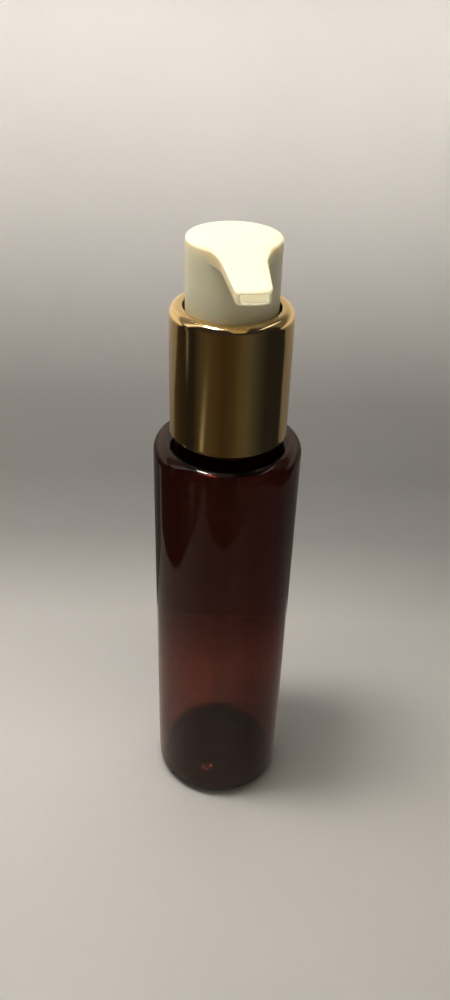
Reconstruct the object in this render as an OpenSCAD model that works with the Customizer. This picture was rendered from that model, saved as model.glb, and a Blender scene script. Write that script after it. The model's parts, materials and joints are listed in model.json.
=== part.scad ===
// Pump oil bottle: a slim amber cylinder with a screw-on pump, a polished gold
// metal collar and an ivory press-down head with a short sloping spout.
// Millimetres. +Z is up, the origin is the centre of the standing ring under
// the bottle, and the spout points along -Y.

/* [Bottle] */
// Outside diameter of the bottle body
body_d = 36; // [34:0.5:44]
// Height of the flat shoulder above the table
shoulder_h = 114.2; // [110:0.1:140]
// Wall thickness of the bottle body
body_wall = 0.9; // [0.7:0.1:1.4]
// Thickness of the base
base_wall = 2.6; // [1.6:0.1:2.8]
// Thickness of the flat shoulder
shoulder_wall = 2.4; // [1.2:0.1:2.6]
// Radius of the heel where the body turns into the base
heel_r = 4; // [3:0.1:5]
// Radius of the shoulder edge
shoulder_r = 3; // [2:0.1:3.4]
// Height of the hollow pushed up into the base
push_up = 2.2; // [1:0.1:3]
// Inner diameter of the flat ring the bottle stands on
stand_in_d = 21; // [16:0.5:23]

/* [Neck finish] */
// Diameter over the neck thread
thread_d = 23.8; // [23.4:0.1:24.1]
// Diameter of the neck under the thread
neck_d = 21.6; // [21.4:0.1:21.8]
// Diameter of the bore through the neck
neck_bore_d = 17.2; // [16.6:0.1:17.6]
// Height of the neck above the shoulder
neck_h = 17.5; // [17.3:0.1:18]
// Rise of the thread in one turn
thread_pitch = 3.175; // [3:0.025:3.2]
// Turns of thread on the neck and in the closure
thread_turns = 1.5; // [1.25:0.25:1.5]

/* [Collar] */
// Outside diameter of the metal collar
collar_d = 28; // [27.9:0.1:30]
// Height of the metal collar
collar_h = 31.1; // [30.5:0.1:31.7]
// Gap between the shoulder and the bottom of the collar
collar_gap = 2.7; // [2.4:0.1:3]
// Sheet thickness of the collar
collar_wall = 0.4; // [0.3:0.05:0.5]
// Radius of the rounded top edge of the collar
collar_edge_r = 2.1; // [1.5:0.1:2.4]
// Diameter of the opening in the top of the collar
collar_mouth_d = 21.9; // [21.6:0.1:23]
// Depth of the edge turned down round that opening
collar_turn = 2.8; // [1:0.1:3]

/* [Head] */
// Outside diameter of the press-down head
head_d = 20.8; // [20:0.1:21]
// Height of the head above the collar
head_rise = 15.2; // [14.8:0.1:17.3]
// Wall thickness of the head's skirt
head_wall = 1; // [0.8:0.1:1.2]
// Radius of the rounded top edge of the head
head_edge_r = 0.5; // [0.3:0.1:0.8]
// Reach of the spout tip from the axis
spout_reach = 22.1; // [19:0.1:24]
// Width of the spout at its tip
spout_tip_w = 7.3; // [6.6:0.1:8]
// Width of the spout where it leaves the head
spout_root_w = 9.9; // [9.4:0.1:11.5]
// Fall of the spout's upper face from the top of the head to the tip
spout_fall = 3.9; // [3.5:0.1:4.5]
// Height of the face at the tip of the spout
spout_tip_h = 2.9; // [2.7:0.1:3.2]
// Width of the outlet slot
outlet_w = 5.4; // [4:0.1:5.6]
// Height of the outlet slot
outlet_h = 1.5; // [1.2:0.1:1.7]

/* [Pump] */
// Stroke of the head
stroke = 6; // [4:0.1:6]
// Bore of the pump cylinder
pump_bore_d = 11; // [10.8:0.1:11.2]
// Diameter of the hollow stem
stem_d = 4.8; // [4.6:0.1:5]
// Lift between the piston and its seat when the outlet is open
valve_lift = 0.8; // [0.5:0.1:1]
// Diameter of the inlet ball
ball_d = 3; // [2.8:0.1:3.2]
// Mean diameter of the return spring
spring_d = 5.7; // [5.5:0.1:6]
// Wire diameter of the return spring
wire_d = 0.7; // [0.5:0.05:0.8]
// Turns of the return spring
spring_turns = 8; // [6:0.5:9]
// Outside diameter of the dip tube
dip_d = 3.6; // [3.4:0.1:3.8]
// Bore of the dip tube
dip_bore_d = 2.4; // [2:0.1:2.6]
// Height of the end of the dip tube above the table
dip_end_h = 6; // [6:0.5:15]

/* [Hidden] */
$fn = 96;

// Radial play of a running fit, and the overlap of a press fit
run = 0.05;
press = 0.02;

// Bottle
br = body_d / 2;
nr = neck_d / 2;
nb = neck_bore_d / 2;
zf = shoulder_h + neck_h;                  // top of the neck
sr_in = stand_in_d / 2;
dome_r = (sr_in * sr_in + push_up * push_up) / (2 * push_up);

// Thread sections: male on the neck, female in the closure
slope = 0.5;
m_crest = 0.40;
f_crest = 0.40;
t_r = thread_d / 2;
f_wall = t_r + 0.25;                       // thread bore of the closure
f_tip = nr + 0.25;                         // crest of the closure thread
z_thread = zf - 1.9 - thread_turns * thread_pitch;

// Stack above the neck
z_gasket = zf + 0.02;
z_flange = zf + 1.3;
z_flange_top = zf + 2.5;
z_plate = zf + 2.6;
z_plate_top = zf + 4.0;
z_lip = zf + 4.25;
z_tower = zf + 8.2;

// Collar and head
z_collar = shoulder_h + collar_gap;
z_collar_top = z_collar + collar_h;
z_top = z_collar_top + head_rise;
z_skirt = z_plate_top + stroke + 0.6;
z_hub = z_tower + stroke + 0.4;
cr = collar_d / 2;
mr = collar_mouth_d / 2;
hr = head_d / 2;
z_socket = z_hub + 7;

// Pump engine
pb = pump_bore_d / 2;
st = stem_d / 2;
z_plug = zf - 2.0;                         // foot of the chaplet's plug
z_piston_top = z_plug - 0.1;
z_piston = z_piston_top - 7;
z_hub_bot = z_piston + 0.6;                // foot of the piston's sleeve
z_hub_top = z_piston_top - 1.8;
z_push = z_hub_top + valve_lift + 0.02;    // shoulder that drives the piston
z_seat = z_hub_bot - 0.02;                 // top of the poppet's seat
z_seat_bot = z_seat - 1.28;
z_stem = z_seat + 1.4;
z_spring = zf - 23.3;                      // spring ledge in the housing
z_spring_top = z_seat_bot - 0.02;
z_cone_top = z_spring - 6.6;
z_cone = z_cone_top - 1.6;
cham_r = 2.2;
inlet_r = 1.0;
tail_r = 2.7;                              // outside of the ball chamber and tail
cone_a = atan((cham_r - inlet_r) / 1.6);
ball_r = ball_d / 2;
z_ball = z_cone - inlet_r / tan(cone_a) + ball_r / sin(cone_a) + 0.04;
z_nib = z_ball + ball_r + 1.45;
z_socket_top = z_cone - 2.2;
z_socket_bot = z_socket_top - 6;

// A ring with rounded corners is drawn as a flat section and turned about Z
module turned() { rotate_extrude($fn = 180) intersection() { translate([0, -50]) square([100, 400]); children(); } }

// Flat section of a solid of revolution with its outer corners rounded
module puck2d(r, z0, z1, r0, r1) {
  union() {
    translate([0, z0 + r0]) square([r, z1 - z0 - r0 - r1]);
    translate([0, z0]) square([r - r0, r0 + 1]);
    translate([0, z1 - r1 - 1]) square([r - r1, r1 + 1]);
    translate([r - r0, z0 + r0]) circle(r = r0, $fn = 96);
    translate([r - r1, z1 - r1]) circle(r = r1, $fn = 96);
  }
}

// Tube or ring
module ring(ro, ri, z0, z1) {
  difference() {
    translate([0, 0, z0]) cylinder(r = ro, h = z1 - z0);
    translate([0, 0, z0 - 1]) cylinder(r = ri, h = z1 - z0 + 2);
  }
}

// Helical rib of trapezoid section from radius ra to rb, fading out at both ends
module helix(ra, rb, ha, hb, z0, turns, segs = 24) {
  n = round(turns * segs);
  function fade(i) = min(1, min(i, n - i) / 3);
  pts = [for (i = [0 : n]) let (a = 360 * i / segs, z = z0 + thread_pitch * i / segs,
           f = 0.5 + 0.5 * fade(i), re = ra + (rb - ra) * f, he = ha + (hb - ha) * f)
         each [[ra * cos(a), ra * sin(a), z - ha], [re * cos(a), re * sin(a), z - he],
               [re * cos(a), re * sin(a), z + he], [ra * cos(a), ra * sin(a), z + ha]]];
  faces = concat(
    [[0, 1, 2, 3]],
    [for (i = [0 : n - 1], k = [0 : 3])
      let (p = 4 * i + k, q = 4 * i + (k + 1) % 4)
      each [[p, p + 4, q + 4], [p, q + 4, q]]],
    [[4 * n + 3, 4 * n + 2, 4 * n + 1, 4 * n]]);
  // an outward rib is wound the other way round from an inward one
  polyhedron(points = pts, convexity = 6,
    faces = rb < ra ? faces : [for (f = faces) [for (i = [len(f) - 1 : -1 : 0]) f[i]]]);
}

// Blown bottle: body with rounded heel and shoulder, pushed-up base, threaded neck
module bottle() {
  color([0.26, 0.07, 0.03, 0.9])
  union() {
    turned() difference() {
      union() {
        puck2d(br, 0, shoulder_h, heel_r, shoulder_r);
        translate([0, shoulder_h - 1]) square([nr, neck_h + 1]);
      }
      // inside of the body, over the pushed-up base
      difference() {
        puck2d(br - body_wall, base_wall, shoulder_h - shoulder_wall,
               heel_r - 2.4, shoulder_r - 0.8);
        translate([0, push_up - dome_r]) circle(r = dome_r + base_wall, $fn = 180);
      }
      translate([-1, shoulder_h - shoulder_wall - 1]) square([nb + 1, neck_h + shoulder_wall + 2]);
      translate([0, push_up - dome_r]) circle(r = dome_r, $fn = 180);
    }
    helix(nr - 0.5, t_r, m_crest + slope * (t_r - nr + 0.5), m_crest, z_thread, thread_turns);
  }
}

// Dip tube: pushed into the housing's tail, its foot cut on the slant
module dip_tube() {
  color([0.93, 0.93, 0.9, 0.8])
  difference() {
    ring(dip_d / 2, dip_bore_d / 2, dip_end_h, z_socket_top - 0.1);
    translate([0, 0, dip_end_h + dip_d / 2]) rotate([45, 0, 0]) translate([-5, -10, -10]) cube([10, 20, 10]);
  }
}

// Pump cylinder with the flange that hangs it in the neck and the ball seat in its foot
module pump_housing() {
  color([0.92, 0.92, 0.9])
  union() {
    difference() {
      turned() polygon([
        [0, z_socket_bot], [tail_r, z_socket_bot], [tail_r, z_spring - 1.9],
        [4.3, z_spring - 0.9], [pb + 1.1, z_spring + 1.6], [pb + 1.1, z_flange],
        [nr - 0.3, z_flange], [nr - 0.3, z_flange_top], [0, z_flange_top]]);
      turned() polygon([
        [0, z_cone - 10], [inlet_r, z_cone - 10], [inlet_r, z_cone], [cham_r, z_cone_top],
        [cham_r, z_spring], [3.6, z_spring], [3.6, z_spring + 0.6], [pb, z_spring + 2.2],
        [pb, z_flange_top + 1], [0, z_flange_top + 1]]);
      translate([0, 0, z_socket_bot - 1]) cylinder(r = dip_d / 2 - press, h = z_socket_top - z_socket_bot + 1);
      // vent, closed by the piston at rest
      translate([0, 0, z_piston + 3.5]) rotate([90, 0, 0]) cylinder(r = 0.5, h = 12);
    }
    // nibs that keep the ball under the spring
    for (a = [0, 120, 240]) rotate(a)
      translate([1.2, -0.4, z_nib]) cube([cham_r - 0.9, 0.8, 0.8]);
  }
}

// Ball of the inlet valve
module inlet_ball() {
  color([0.75, 0.76, 0.78])
  translate([0, 0, z_ball]) sphere(r = ball_r);
}

// Return spring with closed end turns
module return_spring() {
  color([0.7, 0.71, 0.73])
  let (n = round(spring_turns * 20), wr = wire_d / 2, R = spring_d / 2, k = 8,
       z0 = z_spring + 0.02 + wr, z1 = z_spring_top - wr, pc = wire_d * 1.04,
       free = (z1 - z0 - 2 * pc) / (spring_turns - 2),
       zc = function (t) t < 1 ? z0 + pc * t
            : t > spring_turns - 1 ? z1 - pc * (spring_turns - t)
            : z0 + pc + free * (t - 1),
       pts = [for (i = [0 : n], j = [0 : k - 1])
         let (a = 360 * i / 20, b = 360 * j / k, r = R + wr * cos(b))
         [r * cos(a), r * sin(a), zc(i / 20) + wr * sin(b)]],
       faces = concat(
         [[for (j = [0 : k - 1]) k - 1 - j]],
         [for (i = [0 : n - 1], j = [0 : k - 1])
           let (p = i * k + j, q = i * k + (j + 1) % k)
           each [[p, q, q + k], [p, q + k, p + k]]],
         [[for (j = [0 : k - 1]) n * k + j]]))
    polyhedron(points = pts, faces = faces, convexity = 10);
}

// Poppet: seat under the piston, spring guide below, split plug into the stem above
module poppet() {
  color([0.95, 0.95, 0.93])
  difference() {
    union() {
      translate([0, 0, z_seat_bot - 4.2]) cylinder(r = 1.7, h = 4.3);
      translate([0, 0, z_seat_bot]) cylinder(r = 3.3, h = z_seat - z_seat_bot);
      translate([0, 0, z_seat - 0.1]) cylinder(r = 1.9, h = z_stem - z_seat + 0.1);
      translate([0, 0, z_stem - 0.1]) cylinder(r = st - 1.1 + press, h = 5);
    }
    for (a = [0, 90]) rotate(a) translate([-3, -0.4, z_seat + 0.15]) cube([6, 0.8, 12]);
  }
}

// Piston with an upper and a lower sealing lip, sliding on the stem
module piston() {
  color([0.96, 0.96, 0.95])
  turned() difference() {
    polygon([
      [st + run + 0.02, z_hub_bot], [3.2, z_hub_bot], [3.6, z_hub_bot + 1.6],
      [4.4, z_hub_bot + 1.2], [pb - run - 0.25, z_piston], [pb - run, z_piston],
      [pb - run, z_piston + 1.1], [4.7, z_piston + 2.4], [4.7, z_piston_top - 2.4],
      [pb - run, z_piston_top - 1.1], [pb - run, z_piston_top],
      [pb - run - 0.35, z_piston_top], [4.0, z_hub_top - 0.6], [3.4, z_hub_top],
      [st + run + 0.02, z_hub_top]]);
  }
}

// Hollow stem with the shoulder that drives the piston
module stem() {
  color([0.95, 0.95, 0.93])
  difference() {
    union() {
      translate([0, 0, z_stem]) cylinder(r = st, h = z_socket - 0.1 - z_stem);
      translate([0, 0, z_push]) cylinder(r = 3.4, h = z_piston_top - z_push);
    }
    translate([0, 0, z_stem - 1]) cylinder(r = st - 1.1, h = z_socket - z_stem + 2);
  }
}

// Chaplet: pressed into the housing, it guides the stem and keeps the closure on the pump
module chaplet() {
  color([0.93, 0.93, 0.91])
  turned() polygon([
    [pb - 1.1, z_plug], [pb + press, z_plug], [pb + press, z_flange_top], [7.3, z_flange_top],
    [7.3, z_lip], [8.5, z_lip], [8.5, z_lip + 0.5], [8.0, z_lip + 1], [4.6, z_lip + 1],
    [4.2, z_tower], [st + run, z_tower], [st + run, z_flange_top - 0.6], [pb - 1.1, z_flange_top - 0.6]]);
}

// Flat gasket between the neck and the housing's flange
module neck_gasket() {
  color([0.88, 0.88, 0.86])
  ring(nr - 0.2, pb + 1.4, z_gasket, z_flange);
}

// Screw closure: threaded skirt, top plate that turns on the pump, sleeve that backs the collar
module screw_closure() {
  color([0.95, 0.95, 0.92])
  union() {
    turned() difference() {
      polygon([
        [f_wall, z_collar + 0.5], [cr - collar_wall - 0.15, z_collar + 0.5],
        [cr - collar_wall - 0.15, z_collar_top - collar_edge_r - 1], [cr - collar_wall - 1.2, z_collar_top - collar_edge_r - 1],
        [cr - collar_wall - 1.2, z_plate_top], [7.6, z_plate_top], [7.6, z_plate], [f_wall, z_plate]]);
    }
    // crush ribs that grip the metal collar
    for (i = [0 : 11]) rotate(30 * i)
      translate([cr - collar_wall - 0.6, -0.3, z_collar + 2]) cube([0.6 + press, 0.6, collar_h - 6]);
    helix(f_wall + 0.5, f_tip, f_crest + slope * (f_wall + 0.5 - f_tip), f_crest,
          z_thread - thread_pitch / 2, thread_turns);
  }
}

// Collar: drawn metal sleeve with a rounded top edge and a turned-in mouth
module collar_shell() {
  color([0.83, 0.64, 0.3])
  turned() difference() {
    union() {
      difference() {
        puck2d(cr, z_collar, z_collar_top, 0.15, collar_edge_r);
        puck2d(cr - collar_wall, z_collar - 2, z_collar_top - collar_wall, 0.15, collar_edge_r - collar_wall);
      }
      // edge of the mouth, turned down
      translate([mr, z_collar_top - collar_turn]) square([collar_wall, collar_turn]);
    }
    translate([-1, z_collar_top - 5]) square([mr + 1, 10]);
    translate([mr, z_collar_top - collar_wall]) difference() {
      translate([-1, 0]) square([collar_wall + 1, collar_wall + 1]);
      translate([collar_wall, 0]) circle(r = collar_wall, $fn = 48);
    }
  }
}

// Side outline of the spout, y forward and z up
module spout_side() {
  let (zt = z_top - spout_fall, zb = zt - spout_tip_h, e = spout_reach + 1)
  polygon([
    [5.4, z_top], [spout_reach - 0.7, zt + 0.05], [e, zt - 0.35],
    [e, zb], [spout_reach - 0.4, zb], [hr - 0.6, z_top - 3.85], [5.4, z_top - 2.6]]);
}

// Outline of the spout seen from above
module spout_plan() {
  intersection() {
    polygon([
      [-spout_root_w / 2 - 0.35, -6.4], [spout_root_w / 2 + 0.35, -6.4],
      [spout_tip_w / 2, -spout_reach - 1], [-spout_tip_w / 2, -spout_reach - 1]]);
    translate([0, -spout_reach + 16]) circle(r = 16);
  }
}

// Stands a side outline up across the spout
module across(w) { translate([-w / 2, 0, 0]) rotate([90, 0, 90]) linear_extrude(w) mirror([1, 0]) children(); }

// Press-down head: skirted cap with hub, flow duct and sloping spout
module actuator() {
  color([0.95, 0.93, 0.84])
  difference() {
    union() {
      difference() {
        turned() difference() {
          puck2d(hr, z_skirt, z_top, 0.2, head_edge_r);
          translate([-1, z_skirt - 1]) square([hr - head_wall + 1, z_top - 1.8 - z_skirt + 1]);
        }
        // the top falls away into the spout
        intersection() {
          across(20) polygon([[5.4, z_top], [20, z_top - (spout_fall - 0.05) * 14.6 / (spout_reach - 6.1)], [20, z_top + 2], [5.4, z_top + 2]]);
          translate([0, 0, z_top - 6]) linear_extrude(9) spout_plan();
        }
      }
      // spout
      intersection() {
        across(20) spout_side();
        translate([0, 0, z_top - 12]) linear_extrude(14) spout_plan();
      }
      // hub that plugs onto the stem
      translate([0, 0, z_hub]) cylinder(r = 4.4, h = z_top - 1 - z_hub);
      // ribs from the hub to the skirt
      for (a = [0, 90, 180]) rotate(a)
        translate([4, -0.45, z_hub + 4]) cube([hr - head_wall - 3.7, 0.9, z_top - 1 - z_hub - 4]);
      // duct wall under the top
      translate([-2.2, -hr + 0.6, z_top - 4.6]) cube([4.4, hr - 2, 3.4]);
    }
    translate([0, 0, z_hub - 1]) cylinder(r = st + run, h = 8);
    translate([0, 0, z_socket - 1]) cylinder(r = 1.3, h = z_top - 2.2 - z_socket + 1);
    translate([0, 0, z_top - 2.9]) rotate([90, 0, 0]) cylinder(r = 0.8, h = 10.4);
    let (a = atan((spout_fall - 0.05) / (spout_reach - 6.1)), zc = z_top - spout_fall - spout_tip_h / 2)
    translate([0, -spout_reach, zc]) rotate([a, 0, 0]) {
      // rectangular duct, wide at the mouth and narrower towards the hub
      translate([-outlet_w / 2, -2, -outlet_h / 2 - 0.12]) cube([outlet_w, 7.5, outlet_h]);
      translate([-1.5, 5, -0.6]) cube([3, (spout_reach - 9.8) / cos(a) - 5, 1.1]);
    }
  }
}

bottle();
dip_tube();
pump_housing();
inlet_ball();
return_spring();
poppet();
piston();
stem();
chaplet();
neck_gasket();
screw_closure();
collar_shell();
actuator();
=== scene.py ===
import json
import math

import bpy
import numpy as np
from mathutils import Matrix, Vector


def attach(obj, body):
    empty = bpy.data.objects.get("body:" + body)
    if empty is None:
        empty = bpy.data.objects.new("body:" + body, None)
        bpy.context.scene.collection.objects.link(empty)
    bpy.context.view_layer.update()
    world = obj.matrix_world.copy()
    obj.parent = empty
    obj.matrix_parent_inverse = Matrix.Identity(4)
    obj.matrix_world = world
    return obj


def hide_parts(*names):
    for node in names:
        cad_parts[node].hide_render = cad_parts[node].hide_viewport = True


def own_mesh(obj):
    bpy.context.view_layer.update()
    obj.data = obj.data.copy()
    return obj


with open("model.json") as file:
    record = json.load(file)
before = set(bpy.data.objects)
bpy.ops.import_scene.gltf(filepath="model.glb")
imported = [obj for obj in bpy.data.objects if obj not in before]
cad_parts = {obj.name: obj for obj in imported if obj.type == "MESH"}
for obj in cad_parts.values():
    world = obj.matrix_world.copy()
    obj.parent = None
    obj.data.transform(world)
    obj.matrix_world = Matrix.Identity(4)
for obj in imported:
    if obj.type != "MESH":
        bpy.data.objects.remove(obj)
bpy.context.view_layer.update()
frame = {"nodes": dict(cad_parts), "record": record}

MM = 0.001
scene = bpy.context.scene

# ---------------------------------------------------------------- camera
# Azimuth of the camera to the left of the spout, its distance from the axis and
# its height in millimetres, its pitch, roll and yaw in degrees, its focal length
# in pixels of a frame 1000 pixels high.
CAM_AZ, CAM_D, CAM_H, CAM_PITCH, CAM_ROLL, CAM_YAW, CAM_F = 11.14, 179.483, 220.361, 34.79, 1.933, 0.05, 860.326


def turned(v, deg):
    a = math.radians(deg)
    return Vector((v[0] * math.cos(a) - v[1] * math.sin(a), v[0] * math.sin(a) + v[1] * math.cos(a), v[2]))


def plan(x, y, z):
    """A point given as seen from the camera's side: x right, y away, z up, in metres."""
    return turned((x, y, z), -CAM_AZ)


def make_camera():
    p, r = math.radians(CAM_PITCH), math.radians(CAM_ROLL)
    fwd = Vector((0, math.cos(p), -math.sin(p)))
    right = Vector((1, 0, 0))
    up = right.cross(fwd)
    rx = right * math.cos(r) + up * math.sin(r)
    uy = up * math.cos(r) - right * math.sin(r)
    rx, uy, fwd = (turned(v, CAM_YAW - CAM_AZ) for v in (rx, uy, fwd))
    data = bpy.data.cameras.new("camera")
    data.sensor_width = 36.0
    data.lens = CAM_F * 36.0 / 1000.0
    data.clip_start, data.clip_end = 0.01, 20.0
    cam = bpy.data.objects.new("camera", data)
    scene.collection.objects.link(cam)
    m = Matrix((rx, uy, -fwd)).transposed().to_4x4()
    m.translation = plan(0, -CAM_D * MM, CAM_H * MM)
    cam.matrix_world = m
    scene.camera = cam


make_camera()


# ---------------------------------------------------------------- mesh helpers
def mesh_object(name, verts, faces, normals=None):
    """A smooth-shaded mesh object from millimetre points."""
    me = bpy.data.meshes.new(name)
    me.from_pydata((np.asarray(verts, float) * MM).tolist(), [], faces)
    me.update()
    me.polygons.foreach_set("use_smooth", [True] * len(me.polygons))
    if normals is not None:
        me.normals_split_custom_set_from_vertices(np.asarray(normals, float).tolist())
    ob = bpy.data.objects.new(name, me)
    scene.collection.objects.link(ob)
    return ob


def outline(corners, closed=False, arc=10, support=0.06):
    """Section line through corners (r, z, fillet radius), with each fillet drawn
    as an arc and a support point just before and after it."""
    pts = []
    n = len(corners)
    for i, (r, z, f) in enumerate(corners):
        p = np.array((r, z), float)
        if not closed and i in (0, n - 1) or f <= 0:
            pts.append(p)
            continue
        a = np.array(corners[(i - 1) % n][:2], float) - p
        b = np.array(corners[(i + 1) % n][:2], float) - p
        la, lb = np.linalg.norm(a), np.linalg.norm(b)
        a, b = a / la, b / lb
        half = math.acos(max(-1.0, min(1.0, float(a @ b)))) / 2
        t = f / math.tan(half)
        c = p + (a + b) / np.linalg.norm(a + b) * (f / math.sin(half))
        s, e = p + a * t, p + b * t
        if la - t > 2.5 * support:
            pts.append(s + a * support)
        a0 = math.atan2(*(s - c)[::-1])
        d = (math.atan2(*(e - c)[::-1]) - a0 + math.pi) % (2 * math.pi) - math.pi
        pts += [c + f * np.array((math.cos(a0 + d * k / arc), math.sin(a0 + d * k / arc))) for k in range(arc + 1)]
        if lb - t > 2.5 * support:
            pts.append(e + b * support)
    return np.array(pts)


def refine(line, most, closed=False):
    """The line with long steps divided."""
    out = []
    n = len(line)
    for i in range(n if closed else n - 1):
        p, q = line[i], line[(i + 1) % n]
        k = max(1, math.ceil(np.linalg.norm(q - p) / most - 1e-6))
        out += [p + (q - p) * j / k for j in range(k)]
    if not closed:
        out.append(line[-1])
    return np.array(out)


def lathe(name, line, segs, closed=False, shape=None):
    """Solid of revolution. An open line starts and ends on the axis. shape(angle, r, z)
    may give another radius for each point."""
    a = np.arange(segs) * 2 * math.pi / segs
    body = line if closed else line[1:-1]
    r = np.repeat(body[:, :1], segs, 1)
    z = np.repeat(body[:, 1:], segs, 1)
    if shape is not None:
        r = shape(np.repeat(a[None], len(body), 0), r, z)
    v = np.stack((r * np.cos(a), r * np.sin(a), z), -1).reshape(-1, 3)
    rows = len(body)
    faces = []
    for i in range(rows if closed else rows - 1):
        p, q = i * segs, ((i + 1) % rows) * segs
        for j in range(segs):
            k = (j + 1) % segs
            faces.append((p + j, p + k, q + k, q + j))
    if not closed:
        v = np.vstack((v, [(0, 0, line[0][1]), (0, 0, line[-1][1])]))
        n = rows * segs
        q = (rows - 1) * segs
        for j in range(segs):
            k = (j + 1) % segs
            faces.append((n, k, j))
            faces.append((n + 1, q + j, q + k))
    return mesh_object(name, v, faces)


# ---------------------------------------------------------------- material helpers
def new_material(name):
    m = bpy.data.materials.new(name)
    m.use_nodes = True
    nt = m.node_tree
    return m, nt, nt.nodes["Principled BSDF"], nt.nodes["Material Output"]


def noise(nt, scale, detail=3.0, rough=0.5, stretch=None):
    tc = nt.nodes.new("ShaderNodeTexCoord")
    n = nt.nodes.new("ShaderNodeTexNoise")
    n.inputs["Scale"].default_value = scale
    n.inputs["Detail"].default_value = detail
    n.inputs["Roughness"].default_value = rough
    if stretch:
        mp = nt.nodes.new("ShaderNodeMapping")
        mp.inputs["Scale"].default_value = stretch
        nt.links.new(tc.outputs["Object"], mp.inputs["Vector"])
        nt.links.new(mp.outputs["Vector"], n.inputs["Vector"])
    else:
        nt.links.new(tc.outputs["Object"], n.inputs["Vector"])
    return n


def ramp(nt, fac, stops):
    r = nt.nodes.new("ShaderNodeValToRGB")
    el = r.color_ramp.elements
    while len(el) < len(stops):
        el.new(0.5)
    for e, (pos, col) in zip(el, stops):
        e.position = pos
        e.color = (*col, 1.0) if len(col) == 3 else col
    nt.links.new(fac, r.inputs["Fac"])
    return r


def grey(v):
    return (v, v, v)


def vary(nt, bsdf, socket, n, lo, hi):
    """A number of the surface that drifts between lo and hi with the noise n."""
    r = ramp(nt, n.outputs["Fac"], [(0.3, grey(lo)), (0.7, grey(hi))])
    nt.links.new(r.outputs["Color"], bsdf.inputs[socket])


def bump(nt, bsdf, n, height, strength=1.0):
    b = nt.nodes.new("ShaderNodeBump")
    b.inputs["Strength"].default_value = strength
    b.inputs["Distance"].default_value = height
    nt.links.new(n.outputs["Fac"], b.inputs["Height"])
    nt.links.new(b.outputs["Normal"], bsdf.inputs["Normal"])
    return b


def moulded(name, a, b, rough, scatter=0.0, radius=(1.0, 0.8, 0.6), depth=0.001, grain=2500.0, clear=0.0, ior=1.5):
    """Moulded plastic: colour drifts between a and b, fine moulding grain."""
    m, nt, s, _ = new_material(name)
    n1 = noise(nt, 90.0, 3.0)
    c = ramp(nt, n1.outputs["Fac"], [(0.3, a), (0.7, b)])
    nt.links.new(c.outputs["Color"], s.inputs["Base Color"])
    n2 = noise(nt, grain, 2.0)
    vary(nt, s, "Roughness", n2, rough - 0.05, rough + 0.05)
    bump(nt, s, n2, 0.00001, 0.35)
    if scatter:
        s.inputs["Subsurface Weight"].default_value = scatter
        s.inputs["Subsurface Radius"].default_value = radius
        s.inputs["Subsurface Scale"].default_value = depth
    if clear:
        s.inputs["Transmission Weight"].default_value = clear
        s.inputs["IOR"].default_value = ior
    return m


# ---------------------------------------------------------------- bottle
BR, SH, NR, NB, ZF = 18.0, 114.2, 10.8, 8.6, 131.7
WALL, FLOOR_T, TOP_T = 0.9, 2.6, 2.4
DOME_IN, PUSH = 10.5, 2.2
DOME_R = (DOME_IN ** 2 + PUSH ** 2) / (2 * PUSH)
PITCH, TURNS, T_R = 3.175, 1.5, 11.9
Z_THREAD = ZF - 1.9 - TURNS * PITCH


def dome(radius, r0, r1, steps):
    """Arc of the pushed-up base from radius r0 to r1."""
    return np.array([(r, PUSH - DOME_R + math.sqrt(radius ** 2 - r * r)) for r in np.linspace(r0, r1, steps)])


def neck_thread(a, r, z):
    """Trapezoid thread that runs out softly at both ends."""
    out = r.copy()
    on = (np.abs(r - NR) < 1e-4) & (z > SH + 2)
    for k in range(int(math.ceil(TURNS)) + 1):
        t = a / (2 * math.pi) + k
        f = np.clip(np.minimum(t, TURNS - t) * 8, 0, 1)
        f = f * f * (3 - 2 * f)
        h = np.clip((0.95 - np.abs(z - (Z_THREAD + PITCH * t))) / 0.5, 0, T_R - NR)
        out = np.where(on, np.maximum(out, NR + h * f), out)
    return out


def make_bottle():
    outer = np.vstack((dome(DOME_R, 0.0, DOME_IN - 0.35, 24),
                       outline([(DOME_IN - 0.35, PUSH - DOME_R + math.sqrt(DOME_R ** 2 - (DOME_IN - 0.35) ** 2), 0),
                                (DOME_IN, 0, 0.8), (BR, 0, 4.0), (BR, SH, 3.0), (NR, SH, 0.7), (NR, SH + 3, 0)], arc=14)[1:]))
    neck = np.array([(NR, z) for z in np.arange(SH + 3.15, ZF - 0.6, 0.15)])
    lip = outline([(NR, ZF - 0.6, 0), (NR, ZF, 0.35), (NB, ZF, 0.35), (NB, SH - 0.2, 0)], arc=6)
    # inside of the body, over the pushed-up base
    r_in, z_in = BR - WALL, SH - TOP_T
    rd = DOME_R + FLOOR_T
    r_meet = math.sqrt(rd ** 2 - (FLOOR_T - PUSH + DOME_R) ** 2)
    inner = outline([(NB, SH - 0.2, 0), (NB, z_in - 1.0, 0.5), (13.2, z_in - 1.0, 1.0), (14.5, SH - 1.3, 0.3), (r_in - 0.3, SH - 1.3, 2.0),
                     (r_in - 0.3, 92.0, 0), (r_in, 45.0, 0), (r_in, FLOOR_T, 1.6), (r_meet, FLOOR_T, 0)], arc=14)[1:]
    base = dome(rd, r_meet, 0.0, 24)
    line = np.vstack((outer, neck, lip, inner, base[1:]))
    line = refine(line, 6.0)
    return lathe("bottle_amber", line, 256, shape=neck_thread)


# ---------------------------------------------------------------- collar
CR, ZC, ZCT, CW, MR = 14.0, 116.9, 148.0, 0.4, 10.95


def make_collar():
    line = outline([
        (CR + 0.1, ZC, 0.12), (CR, ZC + 0.55, 0.8), (CR, ZCT, 2.1), (MR, ZCT, 0.4), (MR, ZCT - 2.8, 0.12), (MR + CW, ZCT - 2.8, 0.12),
        (MR + CW, ZCT - CW, 0.15), (CR - CW, ZCT - CW, 1.7), (CR - CW, ZC, 0.12)], closed=True, arc=12)
    return lathe("collar_gold", refine(line, 4.0, closed=True), 256, closed=True)


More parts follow.
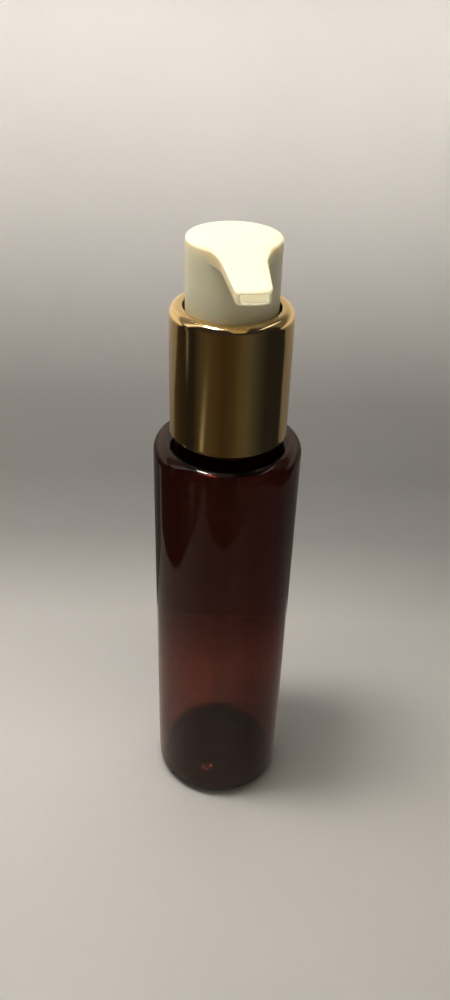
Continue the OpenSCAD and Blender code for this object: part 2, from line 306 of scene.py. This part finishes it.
# ---------------------------------------------------------------- head
HR, ZK, ZT = 10.4, 142.3, 163.2
RAMP0, RAMP_A = 5.4, math.radians(13.6)
# middle of the spout's front face at the height of its upper edge, and its lean
TIP_U, TIP_Z, LEAN = 21.8, 159.35, 0.17


def rmax(a, b, r):
    """Overlap of two distance fields with its edge rounded to radius r."""
    return np.minimum(-r, np.maximum(a, b)) + np.hypot(np.maximum(a + r, 0), np.maximum(b + r, 0))


def rmin(a, b, r):
    return -rmax(-a, -b, r)


def step(x, a, b):
    t = np.clip((x - a) / (b - a), 0, 1)
    return t * t * (3 - 2 * t)


def head_field(p):
    """Signed distance to the press-down head in millimetres, negative inside."""
    x, y, z = p[..., 0], p[..., 1], p[..., 2]
    u = -y
    rho = np.hypot(x, y)
    circ = rho - HR
    # upper face: flat, then sloping down the spout
    run = np.where(u > RAMP0 + 1.2, u - RAMP0, np.where(u < RAMP0 - 1.2, 0.0, (u - RAMP0 + 1.2) ** 2 / 4.8))
    fall = math.tan(RAMP_A) * run
    # plan of the spout: tapered, drafted, with a gently curved front that leans out
    half = 5.044 - 0.0995 * (u - 8.9) - 0.055 * np.clip(ZT - fall - z, 0, 5)
    side = (np.abs(x) - half) / 1.01
    front = (np.hypot(x, u - (TIP_U - 16.0) - LEAN * (TIP_Z - z)) - 16.0) * 0.986
    trap = rmax(rmax(side, 3.0 - u, 0.2), front, 0.6)
    plan_all = rmin(circ, trap, 2.2)
    # the slope is saddled where it meets the rim
    top = (z - ZT + fall * (1 - step(side, -0.5, 1.6))) * math.cos(RAMP_A * 0.5)
    under = ((ZT - 3.85 - 0.24 * (u - 10.1)) - z) * 0.972
    spout = rmax(rmax(plan_all, top, 0.8), under, 0.35)
    body = rmax(rmax(circ, top, 0.7), ZK - z, 0.2)
    solid = np.minimum(body, spout)
    # inside: skirt, hub on the stem, ribs, flow duct
    hub = rho - 4.4
    hollow = np.maximum(rho - (HR - 1.0), z - (ZT - 1.8))
    hollow = np.maximum(hollow, ZK - 2 - z)
    hub = np.maximum(hub, 146.3 - z)
    ribs = np.minimum(np.abs(y) - 0.45, np.where(y > -1, np.abs(x) - 0.45, 9.0))
    ribs = np.maximum(ribs, 150.3 - z)
    duct = np.maximum(np.maximum(np.abs(x) - 2.2, u - HR), np.maximum(158.6 - z, -u))
    keep = rmin(np.minimum(hub, ribs), duct, 0.3)
    hollow = rmax(hollow, -keep, 0.3)
    solid = rmax(solid, -hollow, 0.15)
    socket = np.maximum(rho - 2.45, z - 153.3)
    rise = np.maximum(np.maximum(rho - 1.3, z - 161.0), 152.0 - z)
    flow = np.maximum(np.hypot(x, z - 160.3) - 0.8, np.maximum(-u, u - 10.4))
    s = (u - 22.1) * math.cos(RAMP_A) - (z - 157.85) * math.sin(RAMP_A)
    q = (u - 22.1) * math.sin(RAMP_A) + (z - 157.85) * math.cos(RAMP_A)
    bore = np.maximum(np.maximum(np.abs(x) - 1.5, np.abs(q + 0.05) - 0.55), np.maximum(s + 5.0, -12.6 - s))
    slot = rmax(rmax(np.abs(x) - 2.75, np.abs(q + 0.08) - 0.75, 0.35), -5.5 - s, 0.3)
    void = np.minimum(np.minimum(socket, rise), np.minimum(flow, bore))
    solid = rmax(solid, -void, 0.1)
    return rmax(solid, -slot, 0.25)


def surface_net(field, lo, hi, h):
    """Quads and points of the zero surface of a distance field, pulled onto it."""
    lo, hi = np.array(lo, float), np.array(hi, float)
    n = np.ceil((hi - lo) / h).astype(int) + 1
    ax = [lo[i] + h * np.arange(n[i]) for i in range(3)]
    d = np.empty(tuple(n), np.float32)
    for i in range(n[0]):
        yy, zz = np.meshgrid(ax[1], ax[2], indexing="ij")
        d[i] = field(np.stack((np.full_like(yy, ax[0][i]), yy, zz), -1))
    neg = d < 0
    cnt = np.zeros(tuple(n - 1), np.int8)
    for i in (0, 1):
        for j in (0, 1):
            for k in (0, 1):
                cnt += neg[i:n[0] - 1 + i, j:n[1] - 1 + j, k:n[2] - 1 + k]
    cells = np.argwhere((cnt > 0) & (cnt < 8))
    index = np.full(tuple(n - 1), -1, np.int64)
    index[tuple(cells.T)] = np.arange(len(cells))
    corner = np.array([(i, j, k) for i in (0, 1) for j in (0, 1) for k in (0, 1)])
    val = np.stack([d[tuple((cells + c).T)] for c in corner], 1).astype(float)
    acc, num = np.zeros((len(cells), 3)), np.zeros(len(cells))
    for a in range(8):
        for b in range(a + 1, 8):
            if np.abs(corner[a] - corner[b]).sum() != 1:
                continue
            va, vb = val[:, a], val[:, b]
            cut = (va < 0) != (vb < 0)
            t = np.where(cut, va / np.where(cut, va - vb, 1), 0)
            acc += np.where(cut[:, None], corner[a] + t[:, None] * (corner[b] - corner[a]), 0)
            num += cut
    pts = lo + h * (cells + acc / num[:, None])
    faces = []
    for axis in range(3):
        u, w = (axis + 1) % 3, (axis + 2) % 3
        sl0 = [slice(None)] * 3
        sl1 = [slice(None)] * 3
        sl0[axis], sl1[axis] = slice(0, n[axis] - 1), slice(1, n[axis])
        change = neg[tuple(sl0)] != neg[tuple(sl1)]
        e = np.argwhere(change)
        e = e[(e[:, u] > 0) & (e[:, w] > 0) & (e[:, u] < n[u] - 1) & (e[:, w] < n[w] - 1)]
        quad = []
        for du, dw in ((-1, -1), (0, -1), (0, 0), (-1, 0)):
            c = e.copy()
            c[:, u] += du
            c[:, w] += dw
            quad.append(index[tuple(c.T)])
        quad = np.stack(quad, 1)
        flip = ~neg[tuple(e.T)]
        quad[flip] = quad[flip][:, ::-1]
        faces.append(quad)

    def slope(p):
        eps = 0.02
        g = np.empty_like(p)
        for i in range(3):
            o = np.zeros(3)
            o[i] = eps
            g[:, i] = (field(p + o) - field(p - o)) / (2 * eps)
        return g

    for _ in range(4):
        g = slope(pts)
        f = field(pts)
        move = -(f / np.maximum((g * g).sum(1), 0.2))[:, None] * g
        far = np.linalg.norm(move, axis=1, keepdims=True)
        pts = pts + move * np.minimum(1, 0.4 * h / np.maximum(far, 1e-9))
    g = slope(pts)
    return pts, np.vstack(faces), g / np.linalg.norm(g, axis=1, keepdims=True)


def make_head():
    h = 0.22
    pts, faces, nrm = surface_net(head_field, (-11.1, -23.0, ZK - 0.7), (11.1, 11.1, ZT + 0.7), h)
    ob = mesh_object("head_ivory", pts, faces.tolist(), nrm)
    # floor and sides of the outlet duct
    mid, up = pts[faces].mean(1), nrm[faces].mean(1)
    s = (-mid[:, 1] - 22.1) * math.cos(RAMP_A) - (mid[:, 2] - 157.85) * math.sin(RAMP_A)
    q = (-mid[:, 1] - 22.1) * math.sin(RAMP_A) + (mid[:, 2] - 157.85) * math.cos(RAMP_A)
    inside = (np.abs(mid[:, 0]) < 2.85) & (np.abs(q + 0.08) < 0.84) & (s < -0.25) & (s > -5.8) & (up[:, 2] > -0.4)
    ob.data.polygons.foreach_set("material_index", inside.astype(np.int32))
    return ob


# ---------------------------------------------------------------- return spring
def make_spring():
    turns, wr, rad, side = 8, 0.35, 2.85, 16
    z0, z1, pc = 108.42 + wr, 121.88 - wr, 0.728
    free = (z1 - z0 - 2 * pc) / (turns - 2)
    per = 48
    n = turns * per
    v, faces = [], []
    for i in range(n + 1):
        t = i / per
        z = z0 + pc * t if t < 1 else z1 - pc * (turns - t) if t > turns - 1 else z0 + pc + free * (t - 1)
        a = 2 * math.pi * t
        for j in range(side):
            b = 2 * math.pi * j / side
            r = rad + wr * math.cos(b)
            v.append((r * math.cos(a), r * math.sin(a), z + wr * math.sin(b)))
    for i in range(n):
        for j in range(side):
            k = (j + 1) % side
            faces.append((i * side + j, i * side + k, (i + 1) * side + k, (i + 1) * side + j))
    faces.append(tuple(reversed(range(side))))
    faces.append(tuple(n * side + j for j in range(side)))
    ob = mesh_object("return_spring_wire", v, faces)
    ob.data.polygons[-1].use_smooth = ob.data.polygons[-2].use_smooth = False
    return ob


# ---------------------------------------------------------------- materials
def amber_material():
    m, nt, s, out = new_material("amber_pet")
    n = noise(nt, 60.0, 3.0)
    c = ramp(nt, n.outputs["Fac"], [(0.3, (1.0, 0.985, 0.97)), (0.7, (1.0, 1.0, 1.0))])
    nt.links.new(c.outputs["Color"], s.inputs["Base Color"])
    s.inputs["Transmission Weight"].default_value = 1.0
    s.inputs["IOR"].default_value = 1.57
    vary(nt, s, "Roughness", noise(nt, 150.0, 3.0), 0.012, 0.03)
    bump(nt, s, noise(nt, 45.0, 2.0), 0.00004, 0.35)
    v = nt.nodes.new("ShaderNodeVolumeAbsorption")
    v.inputs["Color"].default_value = (0.62, 0.295, 0.2, 1.0)
    v.inputs["Density"].default_value = 2000.0
    nt.links.new(v.outputs["Volume"], out.inputs["Volume"])
    return m


def gold_material():
    m, nt, s, _ = new_material("gold_aluminium")
    n = noise(nt, 70.0, 4.0)
    c = ramp(nt, n.outputs["Fac"], [(0.3, (0.90, 0.70, 0.39)), (0.7, (0.93, 0.73, 0.42))])
    nt.links.new(c.outputs["Color"], s.inputs["Base Color"])
    s.inputs["Metallic"].default_value = 1.0
    # faint drawing lines round the sleeve and slight waviness of the thin sheet
    vary(nt, s, "Roughness", noise(nt, 30.0, 4.0, 0.6, (1.0, 1.0, 90.0)), 0.09, 0.17)
    bump(nt, s, noise(nt, 110.0, 2.0), 0.00006, 0.3)
    return m


def steel_material():
    m, nt, s, _ = new_material("steel")
    n = noise(nt, 400.0, 3.0)
    c = ramp(nt, n.outputs["Fac"], [(0.3, (0.55, 0.55, 0.56)), (0.7, (0.64, 0.64, 0.65))])
    nt.links.new(c.outputs["Color"], s.inputs["Base Color"])
    s.inputs["Metallic"].default_value = 1.0
    vary(nt, s, "Roughness", noise(nt, 900.0, 2.0), 0.22, 0.34)
    bump(nt, s, noise(nt, 3000.0, 2.0), 0.000004, 0.4)
    return m


ivory = moulded("ivory_pp", (0.87, 0.815, 0.635), (0.90, 0.845, 0.665), 0.36, scatter=1.0, radius=(1.0, 0.85, 0.60), depth=0.0024)
mats = {
    "natural_pe": moulded("natural_pe", (0.92, 0.92, 0.90), (0.97, 0.97, 0.95), 0.08, clear=1.0, ior=1.03),
    "natural_pp": moulded("natural_pp", (0.88, 0.88, 0.84), (0.93, 0.93, 0.89), 0.35, clear=0.85, ior=1.15),
    "steel": steel_material(),
    "white_pom": moulded("white_pom", (0.80, 0.80, 0.78), (0.86, 0.86, 0.84), 0.33),
    "white_pe": moulded("white_pe", (0.82, 0.82, 0.80), (0.87, 0.87, 0.85), 0.42, scatter=0.4),
    "gasket": moulded("gasket", (0.70, 0.70, 0.68), (0.80, 0.80, 0.78), 0.75, grain=5000.0),
    "white_pp": moulded("white_pp", (0.80, 0.79, 0.75), (0.86, 0.85, 0.81), 0.40, scatter=0.2),
}
for node in frame["nodes"]:
    slot_name = next(s["material_slot"] for s in frame["record"]["subparts"] if s["node"] == node)
    if slot_name in mats:
        ob = frame["nodes"][node]
        if not ob.material_slots:
            ob.data.materials.append(mats[slot_name])
        for ms in ob.material_slots:
            ms.material = mats[slot_name]


def place(ob, mat, body, node):
    ob.data.materials.append(mat)
    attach(ob, body)
    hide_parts(node)


place(make_bottle(), amber_material(), "bottle", "bottle")
place(make_collar(), gold_material(), "closure", "collar_shell")
head = make_head()
place(head, ivory, "head", "actuator")
# painted light: the duct glows faintly, standing in for the light that comes through the thin roof of the spout
duct = moulded("ivory_pp_duct", (0.87, 0.815, 0.635), (0.90, 0.845, 0.665), 0.36, scatter=1.0, radius=(1.0, 0.85, 0.60), depth=0.0004)
duct.node_tree.nodes["Principled BSDF"].inputs["Emission Color"].default_value = (0.92, 1.0, 1.0, 1.0)
duct.node_tree.nodes["Principled BSDF"].inputs["Emission Strength"].default_value = 0.25
head.data.materials.append(duct)
spring = make_spring()
place(spring, mats["steel"], "pump", "return_spring")
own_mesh(spring)


# ---------------------------------------------------------------- studio
def make_floor():
    """Pale floor that sweeps up into a backdrop far behind."""
    line = [(-4.0, 0.0), (0.0, 0.0), (0.06, 0.0), (0.11, 0.0), (0.16, 0.0)]
    line += [(0.16 + 0.3 * math.sin(t), 0.3 - 0.3 * math.cos(t)) for t in np.linspace(0.1, math.pi / 2, 16)]
    line.append((0.46, 3.0))
    v, faces = [], []
    for i, (y, z) in enumerate(line):
        for x in (-4.0, 4.0):
            v.append(np.array(plan(x, y, z)) / MM)
        if i:
            faces.append((2 * i - 2, 2 * i - 1, 2 * i + 1, 2 * i))
    ob = mesh_object("stage_floor", v, faces)
    # painted shade: the floor's colour is darkened where it turns up, standing in for a soft falloff of the light
    shade = np.repeat(np.interp([y for y, z in line], [0.05, 0.13, 0.22, 0.295, 0.345, 0.42], [1.0, 0.46, 0.52, 0.74, 0.86, 1.0]), 2)
    at = ob.data.attributes.new("shade", "FLOAT_COLOR", "POINT")
    at.data.foreach_set("color", np.stack((shade, shade, shade, np.ones_like(shade)), 1).astype(np.float32).ravel())
    m, nt, s, _ = new_material("stage_floor")
    n = noise(nt, 8.0, 4.0)
    c = ramp(nt, n.outputs["Fac"], [(0.3, (0.555, 0.55, 0.546)), (0.7, (0.575, 0.57, 0.566))])
    fall = nt.nodes.new("ShaderNodeAttribute")
    fall.attribute_name = "shade"
    both = nt.nodes.new("ShaderNodeVectorMath")
    both.operation = "MULTIPLY"
    nt.links.new(c.outputs["Color"], both.inputs[0])
    nt.links.new(fall.outputs["Color"], both.inputs[1])
    nt.links.new(both.outputs["Vector"], s.inputs["Base Color"])
    s.inputs["Subsurface Weight"].default_value = 1.0
    s.inputs["Subsurface Radius"].default_value = (1.0, 1.0, 1.0)
    s.inputs["Subsurface Scale"].default_value = 0.003
    vary(nt, s, "Roughness", noise(nt, 40.0, 3.0), 0.55, 0.65)
    ob.data.materials.append(m)
    return ob


def glow(name, ob, colours):
    """A card that shows only in gloss and through the clear wall, with a colour for each point."""
    at = ob.data.attributes.new("tone", "FLOAT_COLOR", "POINT")
    at.data.foreach_set("color", np.hstack((colours, np.ones((len(colours), 1)))).astype(np.float32).ravel())
    m = bpy.data.materials.new(name)
    m.use_nodes = True
    nt = m.node_tree
    nt.nodes.remove(nt.nodes["Principled BSDF"])
    e = nt.nodes.new("ShaderNodeEmission")
    c = nt.nodes.new("ShaderNodeAttribute")
    c.attribute_name = "tone"
    nt.links.new(c.outputs["Color"], e.inputs["Color"])
    nt.links.new(e.outputs["Emission"], nt.nodes["Material Output"].inputs["Surface"])
    ob.data.materials.append(m)
    ob.visible_camera = ob.visible_diffuse = ob.visible_shadow = False
    return ob


def make_flag():
    """Dark side of the studio: a flag low in front of the object, seen only in its gloss.
    Its inner part is paler, with a scalloped border, and a pale stripe runs across it."""
    deg = np.arange(-133, 138.5, 1.0)
    border = np.interp(deg, [-133, -119, -116, -104, -92, -80, -70, -60, -50, -42, -37, -35, -30, -27, -18, 0, 15, 30, 36, 45, 60, 85, 136],
                       [0.195, 0.19, 0.133, 0.120, 0.115, 0.114, 0.119, 0.130, 0.141, 0.154, 0.167, 0.18, 0.18, 0.158, 0.142, 0.136, 0.141, 0.155, 0.168, 0.18, 0.183, 0.174, 0.178])

    def tone(stops, colours):
        return np.stack([np.interp(deg, stops, [c[k] for c in colours]) for k in range(3)], 1)

    near = tone([-133, -60, -40, -20, 20, 45, 90, 136],
                [(0.36, 0.34, 0.30), (0.36, 0.34, 0.30), (0.28, 0.26, 0.22), (0.22, 0.20, 0.17), (0.20, 0.18, 0.16), (0.13, 0.12, 0.10), (0.14, 0.13, 0.12), (0.22, 0.21, 0.20)])
    far = tone([-133, -100, -85, -70, -52, -35, -10, 6, 22, 34, 50, 70, 136],
               [(0.10, 0.08, 0.05), (0.05, 0.036, 0.02), (0.032, 0.026, 0.02), (0.03, 0.025, 0.021), (0.10, 0.08, 0.05), (0.096, 0.073, 0.042), (0.068, 0.045, 0.023),
                (0.080, 0.059, 0.031), (0.115, 0.098, 0.060), (0.115, 0.105, 0.068), (0.07, 0.067, 0.055), (0.032, 0.030, 0.027), (0.03, 0.027, 0.025)])
    streak = np.exp(-((deg + 84.5) / 2.2) ** 2)
    foot = np.interp(deg, [-60, 0, 50], [0.5, 1.0, 0.5])
    v, faces, col = [], [], []
    rows = 14
    for i, a in enumerate(np.radians(deg)):
        b = border[i]
        ring = [0.019, 0.045, 0.09, b - 0.0015, b + 0.0015] + [0.20 + 0.0175 * k for k in range(7)] + [1.6]
        for rr in ring:
            v.append(np.array(plan(rr * math.sin(a), -rr * math.cos(a), 0.001)) / MM)
            stripe = math.exp(-((deg[i] + 49 - 105 * (min(rr, 0.3) - 0.218)) / 3.5) ** 2)
            pale = np.interp(rr, [0.19, 0.1925, 0.218, 0.25, 0.28, 0.31], [0.0, 0.32, 0.30, 0.13, 0.06, 0.0]) * stripe
            pale += 0.25 * streak[i] * np.interp(rr, [0.27, 0.2875, 0.305], [0.0, 0.4, 1.0])
            at_foot = np.clip((0.09 - rr) / 0.045, 0, 1) * foot[i] * np.array((0.31, 0.25, 0.21))
            col.append(near[i] + at_foot if rr < b else far[i] + pale * np.array((1.0, 1.02, 0.80)))
        v.append(np.array(plan(1.6 * math.sin(a), -1.6 * math.cos(a), 0.9)) / MM)
        col.append(far[i])
        if i:
            p, q = rows * (i - 1), rows * i
            faces += [(p + k, p + k + 1, q + k + 1, q + k) for k in range(rows - 1)]
    ob = glow("stage_flag", mesh_object("stage_flag", v, faces), np.array(col))
    ob.visible_transmission = False


def make_card():
    """Upright pale card close behind, narrow below, brighter towards its top."""
    low = [(0.0, 0.18), (0.03, 0.165), (0.05, 0.185), (0.07, 0.24)]
    left = [(0.07, 0.24), (0.09, 0.28), (0.105, 0.34), (0.12, 0.55), (0.14, 0.9), (0.16, 0.92), (0.175, 0.87), (0.19, 0.85), (0.20, 0.86), (0.212, 0.7), (0.225, 0.27), (0.25, 0.3), (0.7, 0.25)]
    right = [0.2, 0.23, 0.28, 0.45, 0.74, 0.76, 0.6, 0.3, 0.2, 0.17, 0.17, 0.2, 0.2]
    v, faces, col = [], [], []
    for xs, rise in (((-0.103, -0.02, 0.03, 0.149), [(z, (b * 0.87, b * 0.9, b, b)) for z, b in low]),
                     ((-0.7, -0.05, 0.02, 0.7), [(z, (b, b, c, c)) for (z, b), c in zip(left, right)])):
        k = len(xs)
        for i, (z, tones) in enumerate(rise):
            if i:
                n = len(v)
                faces += [(n - k + j, n - k + j + 1, n + j + 1, n + j) for j in range(k - 1)]
            for x, b in zip(xs, tones):
                v.append(np.array(plan(x, 0.063, z + 0.0005)) / MM)
                col.append((b, b * 0.91, b * 0.79))
    glow("stage_card", mesh_object("stage_card", v, faces), np.array(col))
    # painted shade on the floor, seen only through the clear wall: darker towards the card, with a painted shadow of
    # the bottle on the right
    xs = (-0.103, -0.008, 0.004, 0.012, 0.149)
    rows = [(0.0185, (0.64, 0.55, 0.31, 0.28, 0.28)), (0.026, (0.62, 0.57, 0.37, 0.32, 0.32)), (0.036, (0.55, 0.54, 0.47, 0.42, 0.42)),
            (0.045, (0.41, 0.41, 0.36, 0.34, 0.34)), (0.0625, (0.25, 0.25, 0.21, 0.20, 0.20))]
    v = [np.array(plan(x, y, 0.0008)) / MM for y, _ in rows for x in xs]
    t = [(g, g * 0.93, g * 0.85) for _, tones in rows for g in tones]
    ob = glow("stage_shade", mesh_object("stage_shade", v, [(k + j, k + j + 1, k + j + 6, k + j + 5) for k in (0, 5, 10, 15) for j in range(4)]), np.array(t))
    ob.visible_glossy = False


def area(name, loc, aim, size, power, colour, glossy=True, diffuse=True, spread=180.0):
    d = bpy.data.lights.new(name, "AREA")
    d.shape = "RECTANGLE"
    d.size, d.size_y = size
    d.energy = power
    d.color = colour
    d.spread = math.radians(spread)
    ob = bpy.data.objects.new(name, d)
    scene.collection.objects.link(ob)
    back = (Vector(loc) - Vector(aim)).normalized()
    side = plan(0, 1, 0).cross(back).normalized()
    m = Matrix((side, back.cross(side), back)).transposed().to_4x4()
    m.translation = loc
    ob.matrix_world = m
    ob.visible_glossy, ob.visible_diffuse = glossy, diffuse
    return ob


def make_strip():
    """Lamps overhead, seen only in the gloss: a bent strip, a short bright bar and a tube on the right."""
    v, faces, col = [], [], []

    def band(points):
        for i, (a, b, t) in enumerate(points):
            for p in (a, b):
                v.append(np.array(plan(*p)) / MM)
                col.append((t, t * 0.96, t * 0.88))
            if i:
                n = len(v)
                faces.append((n - 4, n - 3, n - 1, n - 2))

    band([((x, y - w, 0.52), (x, y + w, 0.52), t) for x, y, w, t in (
        (-2.4, -0.03, 0.25, 0.0), (-2.0, -0.03, 0.25, 0.8), (-0.46, -0.02, 0.06, 1.1), (-0.30, 0.01, 0.03, 1.5), (-0.231, 0.02, 0.025, 1.8), (-0.171, -0.015, 0.025, 1.8),
        (-0.103, -0.03, 0.025, 1.8), (-0.036, -0.05, 0.025, 1.2), (0.012, -0.09, 0.025, 0.9), (0.06, -0.12, 0.025, 0.0))])
    band([((-0.155, 0.07, 0.50), (-0.13, 0.07, 0.50), 80.0), ((-0.105, -0.045, 0.50), (-0.08, -0.045, 0.50), 80.0)])
    band([((0.253, y, 0.52), (0.297, y, 0.52), t) for y, t in ((-0.10, 0.3), (-0.06, 1.6), (0.055, 1.8))])
    band([((x - w, 0.055, z), (x + w, 0.055, z - w * 0.5), t) for x, z, w, t in (
        (0.275, 0.52, 0.022, 1.8), (0.223, 0.452, 0.018, 1.8), (0.124, 0.314, 0.011, 1.8), (0.094, 0.267, 0.008, 1.7), (0.081, 0.242, 0.007, 1.5), (0.072, 0.224, 0.006, 1.0))])
    ob = glow("stage_strip", mesh_object("stage_strip", v, faces), np.array(col))
    ob.visible_transmission = False


make_floor()
make_flag()
make_card()
make_strip()
area("key", plan(-0.105, -0.018, 0.50), plan(-0.105, -0.018, 0), (0.12, 0.06), 0.73, (1.0, 0.95, 0.88), glossy=False, spread=120.0)
area("fill", plan(-0.2, 0.1, 1.6), plan(0, 0.0, 0), (1.4, 1.4), 11.5, (1.0, 0.96, 0.92), glossy=False)
area("side", plan(-0.8, -0.6, 0.5), plan(0, 0, 0.1), (0.7, 0.5), 1.9, (1.0, 0.87, 0.66), glossy=False)
area("right", plan(0.7, -0.5, 0.6), plan(0, 0, 0.1), (0.8, 0.6), 1.5, (1.0, 0.87, 0.66), glossy=False)
area("back", plan(0, 0.16, 0.7), plan(0, 0.46, 0.26), (0.9, 0.3), 1.7, (1.0, 0.96, 0.91), glossy=False, spread=60.0)

world = bpy.data.worlds.new("studio")
world.use_nodes = True
bg = world.node_tree.nodes["Background"]
bg.inputs["Color"].default_value = (0.80, 0.77, 0.73, 1.0)
bg.inputs["Strength"].default_value = 0.06
scene.world = world

scene.view_settings.view_transform = "Standard"
scene.view_settings.look = "None"
scene.view_settings.exposure = 0.0
scene.view_settings.gamma = 0.8
scene.cycles.max_bounces = 24
scene.cycles.diffuse_bounces = 12
scene.cycles.transmission_bounces = 20
scene.cycles.glossy_bounces = 8
scene.cycles.transparent_max_bounces = 16
